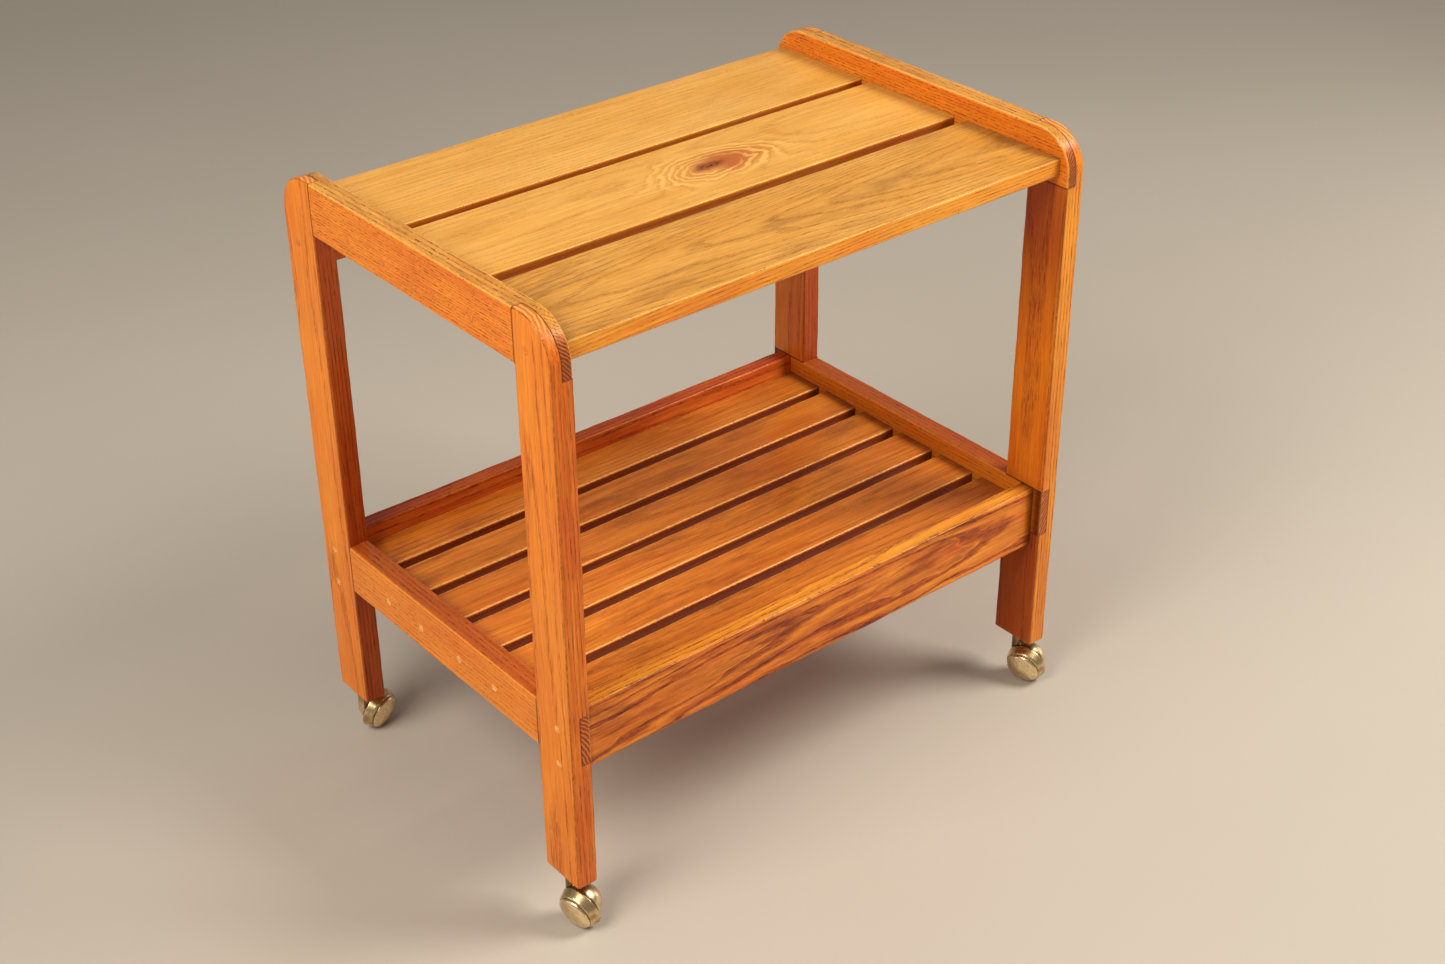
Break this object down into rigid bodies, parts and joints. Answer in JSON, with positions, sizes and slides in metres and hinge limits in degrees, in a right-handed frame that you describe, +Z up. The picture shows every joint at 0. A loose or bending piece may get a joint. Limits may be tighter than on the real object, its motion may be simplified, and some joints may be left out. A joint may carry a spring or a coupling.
{
  "type": "book cart",
  "caption": "Low oak book cart with half-lapped end frames, a slotted board top, a slatted lower shelf with side aprons, and brass ball casters.",
  "frame": {"origin": "on the floor under the middle of the cart", "axes": "+X along the cart's length towards its right end, +Y towards the back (the side with the stretcher under the top), +Z up"},
  "size_m": [0.6769, 0.4695, 0.6755],
  "materials": {
    "oak_frame": "orange-amber varnish, open grain",
    "oak_top_boards": "honey varnish, worn",
    "oak_shelf": "orange-brown varnish, worn edges",
    "oak_plugs": "varnished",
    "screw_steel": "plain",
    "socket_steel": "dull plated",
    "stem_steel": "dull plated",
    "aged_brass_hood": "antique plated, scuffed",
    "aged_brass_wheel": "antique plated, scuffed tread",
    "aged_brass_cap": "antique plated, polished"
  },
  "bodies": {
    "cart_frame": {"leg_front_left": "oak_frame", "leg_front_right": "oak_frame", "leg_back_left": "oak_frame", "leg_back_right": "oak_frame", "upper_rail_left": "oak_frame", "lower_rail_left": "oak_frame", "upper_rail_right": "oak_frame", "lower_rail_right": "oak_frame", "top_board_front": "oak_top_boards", "top_board_middle": "oak_top_boards", "top_board_back": "oak_top_boards", "top_stretcher_back": "oak_frame", "apron_front": "oak_shelf", "apron_back": "oak_shelf", "shelf_slat_1": "oak_shelf", "shelf_slat_2": "oak_shelf", "shelf_slat_3": "oak_shelf", "shelf_slat_4": "oak_shelf", "shelf_slat_5": "oak_shelf", "shelf_slat_6": "oak_shelf", "plugs_left": "oak_plugs", "screws_left": "screw_steel", "plugs_right": "oak_plugs", "screws_right": "screw_steel", "caster_socket_front_left": "socket_steel", "caster_socket_front_right": "socket_steel", "caster_socket_back_left": "socket_steel", "caster_socket_back_right": "socket_steel"},
    "swivel_front_left": {"caster_stem_front_left": "stem_steel", "caster_hood_front_left": "aged_brass_hood", "caster_axle_front_left": "stem_steel"},
    "wheel_front_left": {"caster_wheel_front_left": "aged_brass_wheel", "caster_cap_front_left": "aged_brass_cap"},
    "swivel_front_right": {"caster_stem_front_right": "stem_steel", "caster_hood_front_right": "aged_brass_hood", "caster_axle_front_right": "stem_steel"},
    "wheel_front_right": {"caster_wheel_front_right": "aged_brass_wheel", "caster_cap_front_right": "aged_brass_cap"},
    "swivel_back_left": {"caster_stem_back_left": "stem_steel", "caster_hood_back_left": "aged_brass_hood", "caster_axle_back_left": "stem_steel"},
    "wheel_back_left": {"caster_wheel_back_left": "aged_brass_wheel", "caster_cap_back_left": "aged_brass_cap"},
    "swivel_back_right": {"caster_stem_back_right": "stem_steel", "caster_hood_back_right": "aged_brass_hood", "caster_axle_back_right": "stem_steel"},
    "wheel_back_right": {"caster_wheel_back_right": "aged_brass_wheel", "caster_cap_back_right": "aged_brass_cap"}
  },
  "joints": [
    {"name": "swivel_front_left", "type": "hinge", "parent": "cart_frame", "child": "swivel_front_left", "pos_m": [-0.3183, -0.1968, 0.0555], "axis": [0, 0, 1], "continuous": true},
    {"name": "spin_front_left", "type": "hinge", "parent": "swivel_front_left", "child": "wheel_front_left", "pos_m": [-0.31795, -0.21145, 0.02311], "axis": [-0.9477, -0.2014, -0.2476], "continuous": true},
    {"name": "swivel_front_right", "type": "hinge", "parent": "cart_frame", "child": "swivel_front_right", "pos_m": [0.3183, -0.1968, 0.0555], "axis": [0, 0, 1], "continuous": true},
    {"name": "spin_front_right", "type": "hinge", "parent": "swivel_front_right", "child": "wheel_front_right", "pos_m": [0.31993, -0.21136, 0.02311], "axis": [-0.9265, -0.2833, -0.2476], "continuous": true},
    {"name": "swivel_back_left", "type": "hinge", "parent": "cart_frame", "child": "swivel_back_left", "pos_m": [-0.3183, 0.1968, 0.0555], "axis": [0, 0, 1], "continuous": true},
    {"name": "spin_back_left", "type": "hinge", "parent": "swivel_back_left", "child": "wheel_back_left", "pos_m": [-0.30384, 0.19919, 0.02311], "axis": [0.3314, -0.9104, -0.2476], "continuous": true},
    {"name": "swivel_back_right", "type": "hinge", "parent": "cart_frame", "child": "swivel_back_right", "pos_m": [0.3183, 0.1968, 0.0555], "axis": [0, 0, 1], "continuous": true},
    {"name": "spin_back_right", "type": "hinge", "parent": "swivel_back_right", "child": "wheel_back_right", "pos_m": [0.31769, 0.21144, 0.02311], "axis": [0.944, 0.2179, -0.2476], "continuous": true}
  ]
}
